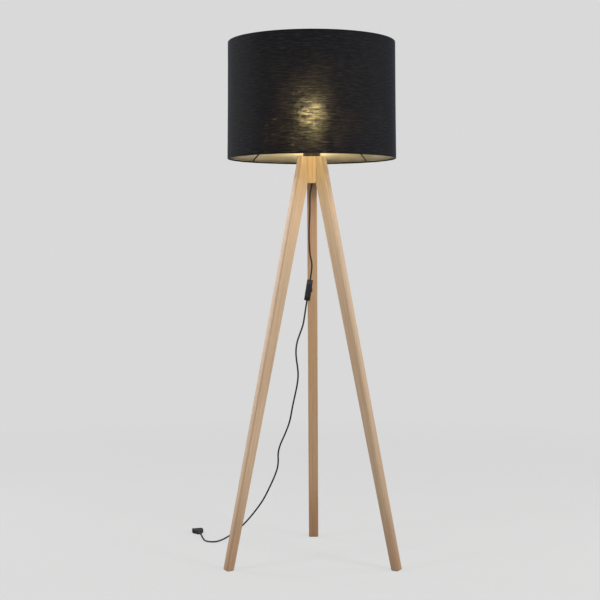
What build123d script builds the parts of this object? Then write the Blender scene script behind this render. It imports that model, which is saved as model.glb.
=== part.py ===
"""Tripod floor lamp: three tapered wooden legs on a hub, a drum shade, and a switched cord.

Every shape is modelled about the lamp's own vertical axis, with the floor at z = 0, and is
moved by AXIS_Y as it is saved, so that the origin is under the middle of the lamp's box.
Millimetres, +X to the right, +Y towards the back leg, +Z up.
"""

from build123d import *
import math
import os

os.makedirs("parts", exist_ok=True)

# ---------------------------------------------------------------- driving dimensions
LAMP_H = 1541.5             # floor to the shade's top edge
SHADE_LOW_R = 252.0         # outside of the fabric at the lower ring
SHADE_HIGH_R = 250.0        # and at the upper ring
SHADE_H = 348.5
FOOT_R = 290.4              # outer face of a leg where the wood ends
PAD_H = 1.5
LEG_W = 30.0                # leg, across its outer face
LEG_FOOT_D = 21.2           # leg, inner to outer face, at the foot
LEG_HEAD_R = 41.4           # outer face of a leg at its top
LEG_ROUND = 4.5             # edges of a leg's outer face
LEG_EASE = 1.8              # its other long edges
LEG_TOP_EASE = 1.2
HUB_TOP = 1200.0
HUB_H = 80.0
HUB_STRIP_W = 23.0          # hub face left showing between two legs
HUB_ROUND = 1.8
CORD_R = 2.5

LEG_AZIMUTHS = {"leg_back": 90.0, "leg_left": 210.0, "leg_right": 330.0}
AXIS_Y = -(FOOT_R - SHADE_LOW_R) / 2

# ---------------------------------------------------------------- worked out from them
HUB_BOTTOM = HUB_TOP - HUB_H
HUB_LEG_FACE = (LEG_W + 2 * HUB_STRIP_W) / (2 * math.sqrt(3))
SHADE_BOTTOM = LAMP_H - SHADE_H
LEG_SLOPE = (FOOT_R - LEG_HEAD_R) / (HUB_TOP - PAD_H)

# leg fixings: two screws a leg, run in from its outer face, under wooden plugs
BOLT_HEIGHTS = (HUB_BOTTOM + 20.0, HUB_TOP - 20.0)
BOLT_SEAT_R = 30.0
BOLT_SHANK_R = 3.0
BOLT_HEAD_R = 5.0
BOLT_HEAD_H = 6.0
BOLT_TIP_R = 13.0
COUNTERBORE_R = 5.6
INSERT_R = 4.8
INSERT_TIP_R = 12.4

# threaded tube up the middle, and the recess for its nut
NIPPLE_R = 5.0
NIPPLE_BORE_R = 3.9
RECESS_R = 11.0
RECESS_H = 30.0
RECESS_TOP = HUB_BOTTOM + RECESS_H
WASHER_H = 1.5
NUT_H = 5.0
NUT_AF = 17.0
NIPPLE_BOTTOM = RECESS_TOP - WASHER_H - NUT_H - 1.5
RELIEF_TIP = HUB_BOTTOM - 3.0

# cup and lampholder
CUP_R = 26.5
CUP_H = 30.0
CUP_WALL = 1.2
HOLDER_BOTTOM = HUB_TOP + 18.0
HOLDER_R = 20.0
CAP_H = 20.0
SKIRT_BOTTOM = HOLDER_BOTTOM + CAP_H
SKIRT_TOP = SKIRT_BOTTOM + 44.0
SHOULDER_TOP = SKIRT_BOTTOM + 13.0
SHOULDER_R = 23.0
INSERT_BLOCK_BOTTOM = SKIRT_BOTTOM + 3.0
INSERT_BLOCK_TOP = SKIRT_BOTTOM + 16.0
THREAD_PITCH = 2.5
SHELL_R = 13.35
SHELL_WALL = 0.45

# shade and its wire frame
FABRIC_T = 0.7
LINING_T = 0.5
WIRE_R = 1.4
HEM_R = 2.2
RING_LOW = SHADE_BOTTOM + HEM_R
RING_HIGH = LAMP_H - HEM_R
RING_LOW_R = SHADE_LOW_R - HEM_R
RING_HIGH_R = SHADE_HIGH_R - HEM_R
ARM_R = 2.3
ARM_BEND_R = 60.0           # where an arm starts to slope down
ARM_KNEE_R = 213.0          # and where the slope gets steep
ARM_KNEE_Z = SHADE_BOTTOM + 35.0
ARM_AZIMUTHS = (47.5, 137.5, 227.5, 317.5)
CARRIER_IN = HOLDER_R + 0.4
CARRIER_OUT = 30.0
CARRIER_T = 2.0
CARRIER_Z = SHOULDER_TOP + 0.1
LOCK_R = 26.5
LOCK_H = 8.0
LOCK_Z = CARRIER_Z + CARRIER_T + 0.1

# bulb, 60 mm globe on a 27 mm screw cap
BULB_TIP = INSERT_BLOCK_TOP + 1.0
BULB_H = 108.0
GLOBE_R = 30.0
GLOBE_Z = BULB_TIP + BULB_H - GLOBE_R
GLASS_T = 0.8
BULB_CAP_R = 13.1
BULB_CAP_TOP = BULB_TIP + 27.0

# switch in the cord
SWITCH_TOP = Vector(-6.0, 5.0, 832.0)
SWITCH_BOTTOM = Vector(-16.0, 8.0, 770.0)
SWITCH_L = (SWITCH_TOP - SWITCH_BOTTOM).length
SWITCH_HALF_T = 9.0
SWITCH_HALF_W = 12.5
SWITCH_NOSE_W = 6.5
SWITCH_NOSE_L = 11.0
SWITCH_WALL = 1.8
CORD_GRIP = 7.0             # how far the cord reaches into the switch
ROCKER_R = 10.4
ROCKER_HALF_W = 4.0
ROCKER_PIVOT = 5.0
ROCKER_RISE = 2.8
ROCKER_TILT = 8.0
PIN_R = 1.0

# plug
PLUG_REAR = Vector(-370.0, 303.0, 7.05)
PLUG_HEADING = Vector(-0.3, 0.95, 0.0).normalized()
PLUG_L = 36.0
PLUG_HALF_W = 17.0
PLUG_HALF_T = 6.75
PLUG_PIN_R = 2.0
PLUG_PIN_SPACING = 18.6
PLUG_PIN_OUT = 19.0
BOOT_L = 24.0

# cord, as corner points of its centre line, from the hub down to the switch
SWITCH_DOWN = (SWITCH_BOTTOM - SWITCH_TOP).normalized()
CORD_UPPER = [
    Vector(0.0, 0.0, RELIEF_TIP),
    Vector(-1.0, 0.0, 1110.5),
    Vector(-6.0, 0.4, 1092.0),
    Vector(-6.2, 1.0, 1060.0),
    Vector(-6.4, 1.6, 1030.0),
    Vector(-9.0, 2.4, 990.0),
    Vector(-9.0, 3.0, 946.0),
    Vector(-7.2, 3.5, 909.0),
    Vector(0.2, 4.0, 880.0),
    SWITCH_TOP - SWITCH_DOWN * 20.0,
    SWITCH_TOP + SWITCH_DOWN * CORD_GRIP,
]

# and from the switch to the plug: hanging, easing down on to the floor, then lying on it
CORD_LOWER = [
    SWITCH_BOTTOM - SWITCH_DOWN * CORD_GRIP,
    SWITCH_BOTTOM + SWITCH_DOWN * 20.0,
    Vector(-22.4, 11.2, 722.0),
    Vector(-27.5, 14.0, 696.5),
    Vector(-37.5, 17.5, 670.5),
    Vector(-45.5, 21.0, 646.0),
    Vector(-48.4, 24.0, 620.0),
    Vector(-46.5, 28.0, 595.0),
    Vector(-42.0, 33.0, 568.0),
    Vector(-40.6, 38.0, 541.0),
    Vector(-44.5, 44.5, 510.0),
    Vector(-52.0, 53.0, 476.0),
    Vector(-60.5, 62.0, 440.0),
    Vector(-68.0, 71.5, 404.0),
    Vector(-78.5, 82.5, 367.0),
    Vector(-99.5, 104.5, 301.0),
    Vector(-118.0, 127.5, 235.0),
    Vector(-138.0, 149.0, 177.0),
    Vector(-156.0, 166.0, 140.0),
    Vector(-175.5, 181.5, 110.5),
    Vector(-198.5, 195.0, 79.5),
    Vector(-223.5, 206.0, 51.0),
    Vector(-247.0, 211.5, 30.5),
    Vector(-267.0, 211.0, 16.5),
    Vector(-283.5, 205.5, 8.0),
    Vector(-299.5, 196.0, 3.8),
    Vector(-310.0, 192.0, 2.8),
    Vector(-321.0, 191.9, 2.8),
    Vector(-331.0, 195.5, 2.8),
    Vector(-339.2, 202.6, 2.8),
    Vector(-345.0, 213.0, 2.8),
    Vector(-351.0, 234.0, 3.2),
    Vector(-357.0, 256.0, 4.8),
    PLUG_REAR - PLUG_HEADING * (BOOT_L + 2.0),
    PLUG_REAR,
]


# ---------------------------------------------------------------- helpers
def save(name, *solids):
    """Write one sub-part, moved from the lamp's axis to the model's origin."""
    placed = [Pos(0, AXIS_Y, 0) * solid for item in solids for solid in item.solids()]
    shape = placed[0] if len(placed) == 1 else Compound(children=placed)
    shape.label = name
    export_step(shape, f"parts/{name}.step")


def lathe(*outline):
    """Turn a closed (radius, height) outline about the lamp's axis."""
    return revolve(make_face(Plane.XZ * Polyline(*outline, close=True)), Axis.Z)


def tube(radius_out, radius_in, low, high):
    """A plain ring or tube on the lamp's axis."""
    return lathe((radius_in, low), (radius_out, low), (radius_out, high), (radius_in, high))


def rod(radius, start, end):
    """A plain cylinder between two points."""
    start, end = Vector(start), Vector(end)
    face = Plane(origin=start, z_dir=end - start) * Circle(radius)
    return extrude(face, (end - start).length)


def around(shape, azimuths):
    """Copies of a shape that is drawn along +X, turned to each azimuth."""
    return [Rot(0, 0, azimuth) * shape for azimuth in azimuths]


def corner_radii(points, share=0.45):
    """The largest arc that each corner's two runs leave room for."""
    radii = []
    for before, corner, after in zip(points, points[1:], points[2:]):
        run_in, run_out = corner - before, after - corner
        turn = math.radians(run_in.get_angle(run_out))
        radii.append(share * min(run_in.length, run_out.length) / math.tan(turn / 2))
    return radii


def cord_tube(points, name):
    """A cord's solid: straight runs joined by tangent arcs."""
    radii = corner_radii(points)
    path = FilletPolyline(*points, radius=radii)
    solid = sweep(Plane(origin=path @ 0, z_dir=path % 0) * Circle(CORD_R), path=path)
    runs = [round((b - a).length, 1) for a, b in zip(points, points[1:])]
    expected = math.pi * CORD_R**2 * path.length
    print(name, "length", round(path.length, 1), "volume ratio", round(solid.volume / expected, 4))
    print("  runs", runs)
    print("  radii", [round(radius) for radius in radii], "least", round(min(radii), 1))
    return solid


# ---------------------------------------------------------------- tripod
def leg_outer_r(height):
    """Radius of a leg's outer face at a height."""
    return FOOT_R - LEG_SLOPE * (height - PAD_H)


def plain_leg():
    """Leg along +X: outer face in one plane, inner face upright against the hub."""
    outline = Polyline(
        (HUB_LEG_FACE, HUB_TOP),
        (LEG_HEAD_R, HUB_TOP),
        (FOOT_R, PAD_H),
        (FOOT_R - LEG_FOOT_D, PAD_H),
        (HUB_LEG_FACE, HUB_BOTTOM),
        close=True,
    )
    return extrude(make_face(Plane.XZ * outline), LEG_W / 2, both=True)


def leg():
    """The leg with rounded edges and its two counterbored screw holes."""
    body = plain_leg()
    lengthwise = body.edges().filter_by(lambda edge: edge.length > HUB_H * 0.9).group_by(Axis.X)
    body = fillet([edge for group in lengthwise[:-1] for edge in group], LEG_EASE)
    lengthwise = body.edges().filter_by(lambda edge: edge.length > HUB_H * 0.9).group_by(Axis.X)
    body = fillet(lengthwise[-1], LEG_ROUND)
    body = fillet(body.faces().sort_by(Axis.Z)[-1].edges(), LEG_TOP_EASE)
    for height in BOLT_HEIGHTS:
        body -= rod(BOLT_SHANK_R + 0.3, (0, 0, height), (BOLT_SEAT_R + 1, 0, height))
        body -= rod(COUNTERBORE_R, (BOLT_SEAT_R, 0, height), (FOOT_R, 0, height))
    return body


def leg_bolt(height):
    """Socket-head screw, lying along +X."""
    shank = rod(BOLT_SHANK_R, (BOLT_TIP_R, 0, height), (BOLT_SEAT_R, 0, height))
    head = rod(BOLT_HEAD_R, (BOLT_SEAT_R, 0, height), (BOLT_SEAT_R + BOLT_HEAD_H, 0, height))
    mouth = Plane(origin=(BOLT_SEAT_R + BOLT_HEAD_H, 0, height), z_dir=(1, 0, 0))
    return shank + head - extrude(mouth * RegularPolygon(2.9, 6), -3.5)


def leg_insert(height):
    """Threaded sleeve set into the hub behind a screw."""
    sleeve = rod(INSERT_R, (INSERT_TIP_R, 0, height), (HUB_LEG_FACE, 0, height))
    return sleeve - rod(BOLT_SHANK_R, (0, 0, height), (HUB_LEG_FACE, 0, height))


def bolt_plug(height):
    """Wooden plug over a screw head, cut flush with the leg's sloping face."""
    start = BOLT_SEAT_R + BOLT_HEAD_H + 0.3
    return rod(COUNTERBORE_R, (start, 0, height), (FOOT_R, 0, height)) & plain_leg()


def hub():
    """Six-sided wooden block: three wide faces for the legs, three narrow ones showing."""
    corners = []
    for azimuth in sorted(LEG_AZIMUTHS.values()):
        for side in (-LEG_W / 2, LEG_W / 2):
            corners.append(Vector(HUB_LEG_FACE, side).rotate(Axis.Z, azimuth))
    block = extrude(Pos(0, 0, HUB_BOTTOM) * make_face(Polyline(*corners, close=True)), HUB_H)
    block = fillet(block.edges().filter_by(Axis.Z), HUB_ROUND)
    block -= tube(NIPPLE_R + 0.2, 0, HUB_BOTTOM, HUB_TOP)
    block -= tube(RECESS_R, 0, HUB_BOTTOM, RECESS_TOP)
    for azimuth in LEG_AZIMUTHS.values():
        for height in BOLT_HEIGHTS:
            hole = rod(INSERT_R, (INSERT_TIP_R, 0, height), (RECESS_R * 3, 0, height))
            block -= Rot(0, 0, azimuth) * hole
    return block


def foot_pad():
    """Pad under one leg, along +X, a little smaller than the wood above it."""
    inset = 1.5
    face = Rectangle(LEG_FOOT_D - 2 * inset, LEG_W - 2 * inset)
    pad = extrude(Pos(FOOT_R - LEG_FOOT_D / 2, 0, 0) * face, PAD_H)
    return fillet(pad.edges().filter_by(Axis.Z), 2.0)


azimuths = list(LEG_AZIMUTHS.values())
for leg_name, leg_azimuth in LEG_AZIMUTHS.items():
    save(leg_name, Rot(0, 0, leg_azimuth) * leg())
save("hub", hub())
save("foot_pads", *around(foot_pad(), azimuths))
save("leg_bolts", *[copy for z in BOLT_HEIGHTS for copy in around(leg_bolt(z), azimuths)])
save("leg_inserts", *[copy for z in BOLT_HEIGHTS for copy in around(leg_insert(z), azimuths)])
save("bolt_plugs", *[copy for z in BOLT_HEIGHTS for copy in around(bolt_plug(z), azimuths)])


# ---------------------------------------------------------------- threaded tube and its nuts
def hex_nut(low):
    """M10 nut on the lamp's axis."""
    nut = extrude(Pos(0, 0, low) * RegularPolygon(NUT_AF / 2, 6, major_radius=False), NUT_H)
    return nut - tube(NIPPLE_R, 0, low - 1, low + NUT_H + 1)


def cord_relief():
    """Tapered rubber sleeve that the cord leaves the tube's lower end through."""
    return lathe(
        (CORD_R, RELIEF_TIP),
        (3.3, RELIEF_TIP),
        (4.8, NIPPLE_BOTTOM - 3.0),
        (6.6, NIPPLE_BOTTOM - 2.5),
        (6.6, NIPPLE_BOTTOM),
        (NIPPLE_BORE_R, NIPPLE_BOTTOM),
        (NIPPLE_BORE_R - 0.1, NIPPLE_BOTTOM + 6.0),
        (CORD_R, NIPPLE_BOTTOM + 6.0),
    )


nipple_top = HOLDER_BOTTOM + 5.0
nipple = tube(NIPPLE_R, NIPPLE_BORE_R, NIPPLE_BOTTOM, nipple_top)
cord_inner_top = HOLDER_BOTTOM + 8.0
save("threaded_tube", nipple)
save("tube_washer", tube(9.8, NIPPLE_R + 0.2, RECESS_TOP - WASHER_H, RECESS_TOP))
save("tube_nuts", hex_nut(RECESS_TOP - WASHER_H - NUT_H), hex_nut(HUB_TOP + CUP_WALL))
save("cord_relief", cord_relief())
save("cord_inner", tube(CORD_R, 0, RELIEF_TIP, cord_inner_top))


# ---------------------------------------------------------------- cup and lampholder
def holder_cup():
    """Upright metal cup that hides the foot of the lampholder."""
    inside = CUP_R - CUP_WALL
    low, high = HUB_TOP, HUB_TOP + CUP_H
    skin = lathe(
        (NIPPLE_R + 0.2, low), (CUP_R, low), (CUP_R, high), (inside, high),
        (inside, low + CUP_WALL), (NIPPLE_R + 0.2, low + CUP_WALL),
    )
    lowest = skin.edges().filter_by(GeomType.CIRCLE).group_by(Axis.Z)[0].sort_by(SortBy.RADIUS)
    return fillet(lowest[-1], CUP_WALL * 0.9)


def holder_cap():
    """Lower half of the lampholder, screwed on the tube."""
    low = HOLDER_BOTTOM
    return lathe(
        (NIPPLE_R, low), (HOLDER_R - 4, low), (HOLDER_R, low + 4), (HOLDER_R, SKIRT_BOTTOM),
        (18.1, SKIRT_BOTTOM), (18.1, INSERT_BLOCK_BOTTOM), (16.9, INSERT_BLOCK_BOTTOM),
        (16.9, low + 5), (15.0, low + 3), (NIPPLE_R, low + 3),
    )


def holder_skirt():
    """Upper half: shoulder for the shade's ring, then an outside thread of plain ridges."""
    outline = [
        (18.2, SKIRT_BOTTOM), (HOLDER_R, SKIRT_BOTTOM), (HOLDER_R, SHOULDER_TOP - 5),
        (SHOULDER_R, SHOULDER_TOP - 2.5), (SHOULDER_R, SHOULDER_TOP),
    ]
    height = SHOULDER_TOP
    while height + THREAD_PITCH < SKIRT_TOP - 1:
        outline += [(HOLDER_R - 0.6, height), (HOLDER_R - 0.6, height + THREAD_PITCH * 0.3)]
        outline += [(HOLDER_R, height + THREAD_PITCH * 0.5), (HOLDER_R, height + THREAD_PITCH * 0.8)]
        height += THREAD_PITCH
    outline += [
        (HOLDER_R - 0.6, height), (HOLDER_R - 0.6, SKIRT_TOP), (17.8, SKIRT_TOP),
        (17.8, INSERT_BLOCK_TOP + 3), (16.4, INSERT_BLOCK_TOP + 2),
        (16.4, INSERT_BLOCK_BOTTOM + 3), (18.2, INSERT_BLOCK_BOTTOM + 3),
    ]
    return lathe(*outline)


TERMINAL_X = 9.5
TERMINAL_SIZE = 6.0
TERMINAL_Z = INSERT_BLOCK_BOTTOM - TERMINAL_SIZE / 2
TERMINAL_SCREW_R = 1.5


def holder_insert():
    """Ceramic block inside the lampholder."""
    block = lathe(
        (0, INSERT_BLOCK_BOTTOM), (17.9, INSERT_BLOCK_BOTTOM), (17.9, INSERT_BLOCK_BOTTOM + 3),
        (16.0, INSERT_BLOCK_BOTTOM + 3), (16.0, INSERT_BLOCK_TOP - 1.2), (0, INSERT_BLOCK_TOP - 1.2),
    )
    notch = Pos(0, 0, INSERT_BLOCK_BOTTOM) * Box(4, 40, 5)
    return block - notch


def screw_shell():
    """Brass shell that takes the bulb's screw cap."""
    low = INSERT_BLOCK_TOP - 1.2
    outer = SHELL_R + SHELL_WALL
    return lathe(
        (SHELL_R - 4, low), (15.5, low), (15.5, low + SHELL_WALL), (outer, low + SHELL_WALL),
        (outer, SKIRT_TOP - 3), (SHELL_R, SKIRT_TOP - 3), (SHELL_R, low + SHELL_WALL),
        (SHELL_R - 4, low + SHELL_WALL),
    )


def centre_contact():
    """Springy brass tongue under the bulb's tip."""
    low = INSERT_BLOCK_TOP - 1.2
    foot = Pos(-3.0, 0, low + 0.25) * Box(6.0, 5.0, 0.5)
    tongue = Pos(1.5, 0, low + 0.9) * Rot(0, -8, 0) * Box(8.0, 5.0, 0.4)
    rise = Pos(-2.4, 0, low + 0.5) * Box(0.8, 5.0, 0.9)
    return foot + tongue + rise


def terminals():
    """Two brass clamps under the block, each bored for its screw."""
    blocks = []
    for side in (-1, 1):
        block = Pos(side * TERMINAL_X, 0, TERMINAL_Z) * Box(TERMINAL_SIZE, TERMINAL_SIZE, TERMINAL_SIZE)
        x = side * TERMINAL_X
        low, high = TERMINAL_Z - TERMINAL_SIZE, TERMINAL_Z + TERMINAL_SIZE / 2 - 1
        blocks.append(block - rod(TERMINAL_SCREW_R, (x, 0, low), (x, 0, high)))
    return blocks


def terminal_screws():
    """Cheese-head screws up into the clamps, each with a driver slot."""
    screws = []
    face = TERMINAL_Z - TERMINAL_SIZE / 2
    for side in (-1, 1):
        x = side * TERMINAL_X
        screw = rod(TERMINAL_SCREW_R, (x, 0, face), (x, 0, face + TERMINAL_SIZE - 1.2))
        screw += rod(2.6, (x, 0, face - 1.8), (x, 0, face))
        screws.append(screw - Pos(x, 0, face - 1.8) * Box(6, 0.7, 1.4))
    return screws


def lead_wires():
    """The cord's two cores, from its cut sheath to the clamps."""
    wires = []
    for side in (-1, 1):
        path = FilletPolyline(
            (side * 1.3, 0, cord_inner_top),
            (side * 1.3, 0, cord_inner_top + 4.0),
            (side * 3.6, 0, TERMINAL_Z),
            (side * (TERMINAL_X - TERMINAL_SIZE / 2), 0, TERMINAL_Z),
            radius=[1.2, 1.2],
        )
        wires.append(sweep(Plane(origin=path @ 0, z_dir=path % 0) * Circle(0.9), path=path))
    return wires


save("holder_cup", holder_cup())
save("holder_cap", holder_cap())
save("holder_skirt", holder_skirt())
save("holder_insert", holder_insert())
save("screw_shell", screw_shell())
save("centre_contact", centre_contact())
save("terminals", *terminals())
save("terminal_screws", *terminal_screws())
save("lead_wires", *lead_wires())


# ---------------------------------------------------------------- shade
def wall_r(height):
    """Outside radius of the shade's wall at a height."""
    share = (height - RING_LOW) / (RING_HIGH - RING_LOW)
    return SHADE_LOW_R + (SHADE_HIGH_R - SHADE_LOW_R) * share


def skin(depth_out, depth_in, low, high):
    """A layer of the wall, between two depths below its outside."""
    return lathe(
        (wall_r(low) - depth_in, low),
        (wall_r(low) - depth_out, low),
        (wall_r(high) - depth_out, high),
        (wall_r(high) - depth_in, high),
    )


def wire_ring(radius, height):
    """Round wire ring inside a hem."""
    return Pos(0, 0, height) * Torus(radius, WIRE_R)


def hem(radius, height, outward):
    """Half-round fold of fabric over a ring: outward is -1 below and +1 above."""
    steps = 12
    angles = [math.pi * step / steps for step in range(steps + 1)]
    wall = HEM_R - FABRIC_T
    outer = [(radius + HEM_R * math.cos(a), height + outward * HEM_R * math.sin(a)) for a in angles]
    inner = [(radius + wall * math.cos(a), height + outward * wall * math.sin(a)) for a in angles]
    return lathe(*outer, *reversed(inner))


def spider_arm():
    """One wire arm, along +X: up from the lower ring, in a steep slope, then a gentle one."""
    path = FilletPolyline(
        (RING_LOW_R - 1.6, 0, RING_LOW + 0.8),
        (RING_LOW_R - 3.6, 0, RING_LOW + 8.0),
        (ARM_KNEE_R, 0, ARM_KNEE_Z),
        (ARM_BEND_R, 0, CARRIER_Z + CARRIER_T / 2),
        (CARRIER_OUT - 2.5, 0, CARRIER_Z + CARRIER_T / 2),
        radius=[8.0, 30.0, 14.0],
    )
    return sweep(Plane(origin=path @ 0, z_dir=path % 0) * Circle(ARM_R), path=path)


def lock_ring():
    """Ring nut that holds the carrier down on the lampholder's shoulder."""
    ring = lathe(
        (HOLDER_R + 0.08, LOCK_Z), (LOCK_R, LOCK_Z), (LOCK_R, LOCK_Z + LOCK_H - 1),
        (LOCK_R - 1, LOCK_Z + LOCK_H), (HOLDER_R + 0.08, LOCK_Z + LOCK_H),
    )
    groove = rod(1.1, (LOCK_R + 0.3, 0, LOCK_Z - 1), (LOCK_R + 0.3, 0, LOCK_Z + LOCK_H + 1))
    count = 24
    for step in range(count):
        ring -= Rot(0, 0, step * 360 / count) * groove
    return ring


lining_gap = 1.7
save("shade_fabric", skin(0, FABRIC_T, RING_LOW, RING_HIGH))
save("shade_lining", skin(FABRIC_T, FABRIC_T + LINING_T, RING_LOW + lining_gap, RING_HIGH - lining_gap))
save("shade_hem_bottom", hem(RING_LOW_R, RING_LOW, -1))
save("shade_hem_top", hem(RING_HIGH_R, RING_HIGH, 1))
save("shade_ring_bottom", wire_ring(RING_LOW_R, RING_LOW))
save("shade_ring_top", wire_ring(RING_HIGH_R, RING_HIGH))
save("spider_arms", *around(spider_arm(), ARM_AZIMUTHS))
save("carrier_ring", tube(CARRIER_OUT, CARRIER_IN, CARRIER_Z, CARRIER_Z + CARRIER_T))
save("lock_ring", lock_ring())


# ---------------------------------------------------------------- bulb
def bulb_outline(inset):
    """Half outline of the glass, from the neck to the crown, moved in by a wall."""
    neck_r = BULB_CAP_R - 1.6 - inset
    globe = GLOBE_R - inset
    shoulder = 50.0
    at = (globe * math.cos(math.radians(shoulder)), GLOBE_Z - globe * math.sin(math.radians(shoulder)))
    along = (math.sin(math.radians(shoulder)), math.cos(math.radians(shoulder)))
    neck = Spline((neck_r, BULB_CAP_TOP - 4), at, tangents=[(0, 1), along])
    crown = GLOBE_Z + globe
    side = (globe * math.cos(math.radians(20)), GLOBE_Z + globe * math.sin(math.radians(20)))
    return neck, ThreePointArc(at, side, (0, crown))


def bulb_glass():
    """Blown envelope, open at the neck."""
    out_neck, out_globe = bulb_outline(0.0)
    in_neck, in_globe = bulb_outline(GLASS_T)
    ends = Line(out_neck @ 0, in_neck @ 0) + Line(out_globe @ 1, in_globe @ 1)
    edges = out_neck + out_globe + in_neck + in_globe + ends
    return revolve(make_face(Plane.XZ * edges), Axis.Z)


def bulb_cap():
    """Screw cap with a rolled thread, drawn as plain ridges."""
    wall, pitch = 0.5, 3.6
    low = BULB_TIP + 4.0
    outer, inner = [(BULB_CAP_R - 1.0, low)], []
    height = low + 1.0
    while height + pitch < BULB_CAP_TOP - 3:
        outer += [(BULB_CAP_R - 1.0, height), (BULB_CAP_R, height + pitch * 0.35)]
        outer += [(BULB_CAP_R, height + pitch * 0.65)]
        height += pitch
    outer += [(BULB_CAP_R - 1.0, height), (BULB_CAP_R - 0.6, BULB_CAP_TOP - 2), (BULB_CAP_R, BULB_CAP_TOP)]
    inner = [(radius - wall, z) for radius, z in reversed(outer)]
    return lathe(*outer, *inner)


def bulb_stem():
    """Glass mount inside the bulb."""
    low = BULB_CAP_TOP - 6
    return lathe((0, low), (7.0, low), (3.2, low + 14), (1.6, low + 22), (1.6, GLOBE_Z + 14), (0, GLOBE_Z + 14))


def bulb_filaments():
    """Four light sticks leaning out round the mount."""
    stick = rod(0.9, (5.0, 0, GLOBE_Z - 20), (9.5, 0, GLOBE_Z + 12))
    return around(stick, (45, 135, 225, 315))


insulator_low = BULB_TIP + 1.2
save("bulb_glass", bulb_glass())
save("bulb_cap", bulb_cap())
save("bulb_insulator", lathe(
    (0, insulator_low), (5.0, insulator_low), (BULB_CAP_R - 1.0, BULB_TIP + 4.0), (0, BULB_TIP + 4.0)))
save("bulb_contact", lathe((0, BULB_TIP), (3.2, BULB_TIP), (4.5, insulator_low), (0, insulator_low)))
save("bulb_stem", bulb_stem())
save("bulb_filaments", *bulb_filaments())


# ---------------------------------------------------------------- switch in the cord
SWITCH_UP = -SWITCH_DOWN
SWITCH_MIDDLE = (SWITCH_TOP + SWITCH_BOTTOM) * 0.5
SWITCH_ACROSS = (Vector(1, 0, 0) - SWITCH_UP * SWITCH_UP.X).normalized()
SWITCH = Plane(origin=SWITCH_MIDDLE, x_dir=SWITCH_ACROSS, z_dir=SWITCH_UP)
SCREW_SPOTS = ((8.0, 15.0), (-8.0, -15.0))


def switch_block(inset, half_t):
    """Long block with narrowed ends, in the switch's own frame: x is its thickness."""
    half_l = SWITCH_L / 2 - inset
    wide, nose = SWITCH_HALF_W - inset, SWITCH_NOSE_W - inset * 0.6
    shoulder = SWITCH_L / 2 - SWITCH_NOSE_L
    outline = Polyline(
        (nose, half_l), (wide, shoulder), (wide, -shoulder), (nose, -half_l),
        (-nose, -half_l), (-wide, -shoulder), (-wide, shoulder), (-nose, half_l), close=True,
    )
    return extrude(make_face(Plane.YZ * outline), half_t, both=True)


def switch_shell():
    """Both halves of the housing as one hollow, rounded block."""
    block = switch_block(0.0, SWITCH_HALF_T)
    block = fillet(block.edges().filter_by(Axis.X), 2.5)
    rims = block.faces().filter_by(Axis.X).edges()
    block = fillet(rims, 2.2)
    block -= switch_block(SWITCH_WALL, SWITCH_HALF_T - SWITCH_WALL)
    for y, z in SCREW_SPOTS:
        block += rod(2.9, (-SWITCH_HALF_T + 1, y, z), (SWITCH_HALF_T - 1, y, z))
    return block - rod(CORD_R, (0, 0, -SWITCH_L), (0, 0, SWITCH_L))


def switch_half(side):
    """Keep the housing on one side of its parting plane."""
    reach = 60.0
    return switch_shell() & Pos(side * reach / 2, 0, 0) * Box(reach, reach, 2 * reach)


def switch_base():
    """Half behind the rocker, with the two screw heads sunk in it."""
    base = switch_half(-1)
    for y, z in SCREW_SPOTS:
        base -= rod(1.3, (-20, y, z), (0, y, z))
        base -= rod(2.6, (-20, y, z), (-SWITCH_HALF_T + 2.0, y, z))
    return base


def switch_cover():
    """Half with the rocker's window and the two lugs for its pin."""
    cover = switch_half(1)
    window = Pos(SWITCH_HALF_T, 0, 0) * Box(8, 2 * ROCKER_HALF_W + 0.7, 2 * ROCKER_R + 0.8)
    for side in (-1, 1):
        lug = Box(SWITCH_HALF_T - 3.5, 2.0, 6.0)
        cover += Pos(3.2 + (SWITCH_HALF_T - 3.5) / 2, side * (ROCKER_HALF_W + 1.35), 0) * lug
    cover -= window
    cover -= rod(PIN_R, (ROCKER_PIVOT, -7, 0), (ROCKER_PIVOT, 7, 0))
    for y, z in SCREW_SPOTS:
        cover -= rod(1.25, (-1, y, z), (SWITCH_HALF_T - 2.5, y, z))
    return cover


def rocker():
    """Rocker with a ridge across its middle, at rest with its lower end pressed in."""
    foot = ROCKER_PIVOT - 2.4
    end = SWITCH_HALF_T - 0.2
    ridge = SWITCH_HALF_T + ROCKER_RISE
    side = math.sqrt(ROCKER_R**2 - (end - ROCKER_PIVOT) ** 2)
    outline = Polyline((foot, -7.5), (end, -side), (ridge, 0), (end, side), (foot, 7.5), close=True)
    block = extrude(make_face(Plane.XZ * outline), ROCKER_HALF_W, both=True)
    limit = rod(ROCKER_R, (ROCKER_PIVOT, -20, 0), (ROCKER_PIVOT, 20, 0))
    block = block & limit
    block -= rod(PIN_R + 0.06, (ROCKER_PIVOT, -20, 0), (ROCKER_PIVOT, 20, 0))
    return Pos(ROCKER_PIVOT, 0, 0) * Rot(0, ROCKER_TILT, 0) * Pos(-ROCKER_PIVOT, 0, 0) * block


def switch_contacts():
    """Fixed and moving contact strips, on the floor of the base."""
    fixed = Pos(-6.4, 0, -12) * Box(0.8, 5, 10) + Pos(-4.4, 0, -7.4) * Box(4.0, 5, 0.8)
    moving = Pos(-6.4, 0, 12) * Box(0.8, 5, 10) + Pos(-3.6, 0, 7.4) * Box(5.0, 5, 0.8)
    blade = Pos(-1.5, 0, 1.0) * Box(0.6, 5, 12.0)
    return [fixed, moving + blade]


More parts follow.
